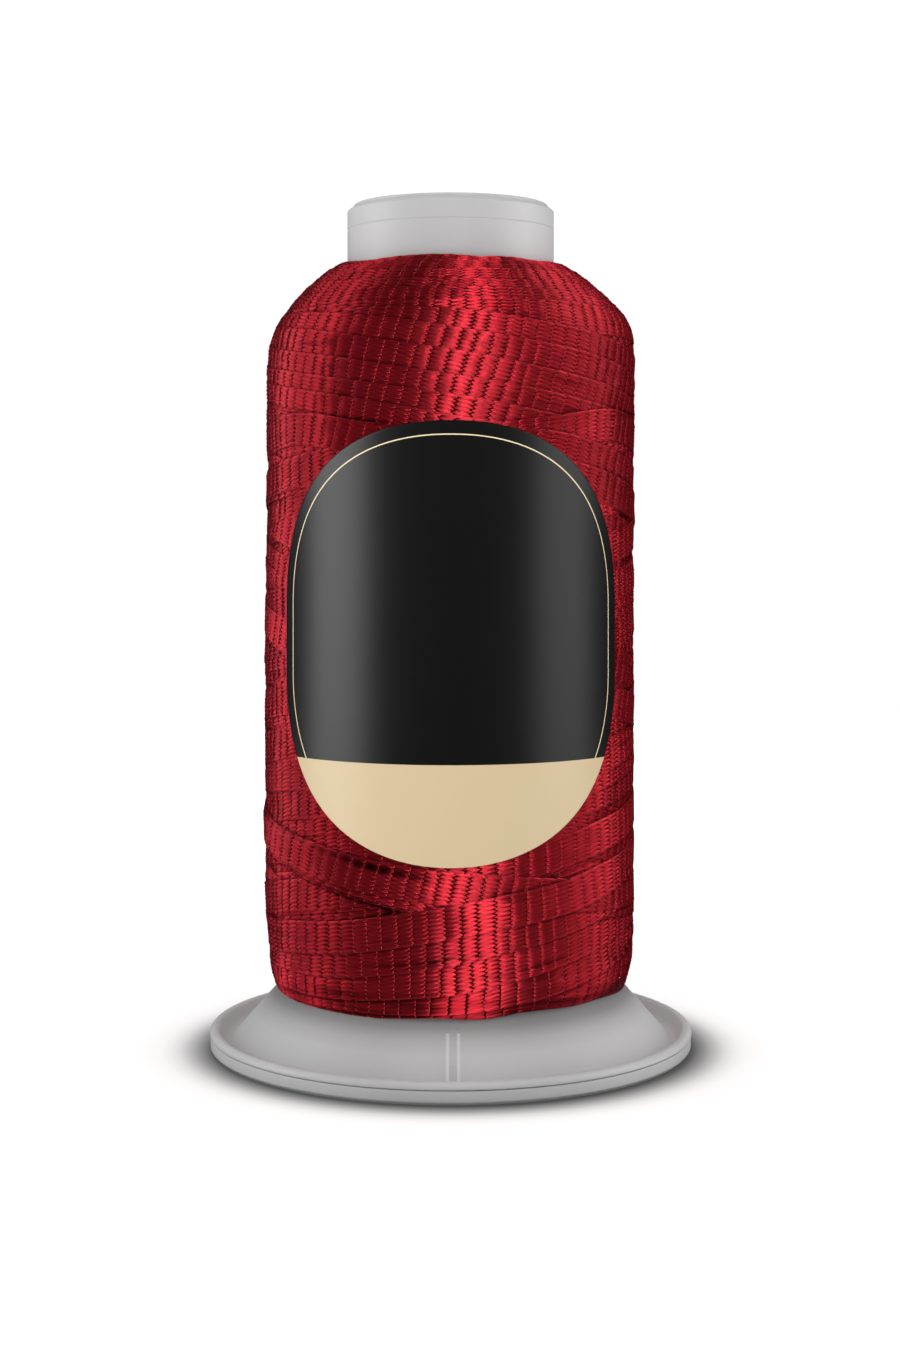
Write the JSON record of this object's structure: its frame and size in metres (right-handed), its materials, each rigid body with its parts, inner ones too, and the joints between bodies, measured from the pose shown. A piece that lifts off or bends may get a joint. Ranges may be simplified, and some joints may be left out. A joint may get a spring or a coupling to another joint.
{
  "type": "spool of thread",
  "caption": "Snap-base plastic spool wound with flat satin ribbon, with a conical flange, a plain neck with a spindle hole, and a blank arched front label.",
  "frame": {"origin": "centre of the foot ring, on the surface that the spool stands on", "axes": "+Z along the spool's axis, up to the neck; -Y through the middle of the front label"},
  "size_m": [0.0766, 0.0766, 0.1338],
  "materials": {
    "base_plastic": "satin",
    "barrel_plastic": "satin",
    "bush_plastic": "satin",
    "ribbon": "satin",
    "label": "satin"
  },
  "bodies": {
    "base": {"snap_base": "base_plastic"},
    "spool": {"barrel": "barrel_plastic", "spindle_bush": "bush_plastic", "ribbon_winding": "ribbon", "front_label": "label"}
  },
  "joints": [
    {"name": "base_snap", "type": "slide", "parent": "base", "child": "spool", "axis": [0, 0, 1], "range_m": [0, 0.004]}
  ]
}
